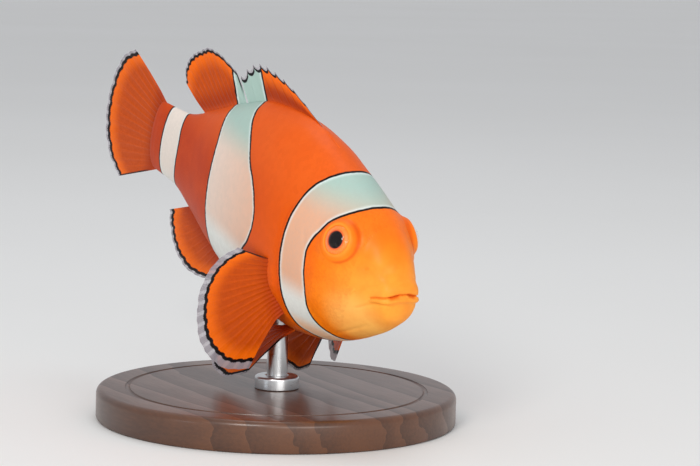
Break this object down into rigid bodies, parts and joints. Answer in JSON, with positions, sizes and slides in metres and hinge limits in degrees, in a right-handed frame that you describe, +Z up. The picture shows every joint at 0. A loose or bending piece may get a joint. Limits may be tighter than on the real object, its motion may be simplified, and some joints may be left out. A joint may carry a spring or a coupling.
{
  "type": "clownfish model",
  "caption": "Life-size still model of a clownfish swimming nose-down, orange with white bars, held by a short rod on a round flat base.",
  "frame": {"origin": "centre of the underside of the round display base, at the level of the surface it stands on", "axes": "+Z up, +X the way the fish faces, +Y towards the fish's left side"},
  "size_m": [0.0831, 0.052, 0.0526],
  "materials": {
    "head_skin": "bright orange fish skin with a thin wet gloss",
    "body_skin": "orange scaled fish skin, white bars with thin black edges",
    "fin": "orange rayed fin membrane with a black band inside a pale, clear margin",
    "eye": "black pupil in an orange iris under a clear glossy cornea",
    "base_wood": "dark turned hardwood, satin lacquer",
    "stand_steel": "fine brushed stainless steel"
  },
  "bodies": {
    "root": {"head": "head_skin", "lower_jaw": "head_skin", "gill_cover_left": "head_skin", "gill_cover_right": "head_skin", "trunk": "body_skin", "tail_stalk": "body_skin", "dorsal_fin_spiny": "fin", "dorsal_fin_soft": "fin", "anal_fin": "fin", "tail_fin": "fin", "pectoral_fin_left": "fin", "pectoral_fin_right": "fin", "pelvic_fin_left": "fin", "pelvic_fin_right": "fin", "eye_left": "eye", "eye_right": "eye", "stand_base": "base_wood", "stand_collar": "stand_steel", "stand_rod": "stand_steel"}
  },
  "joints": []
}
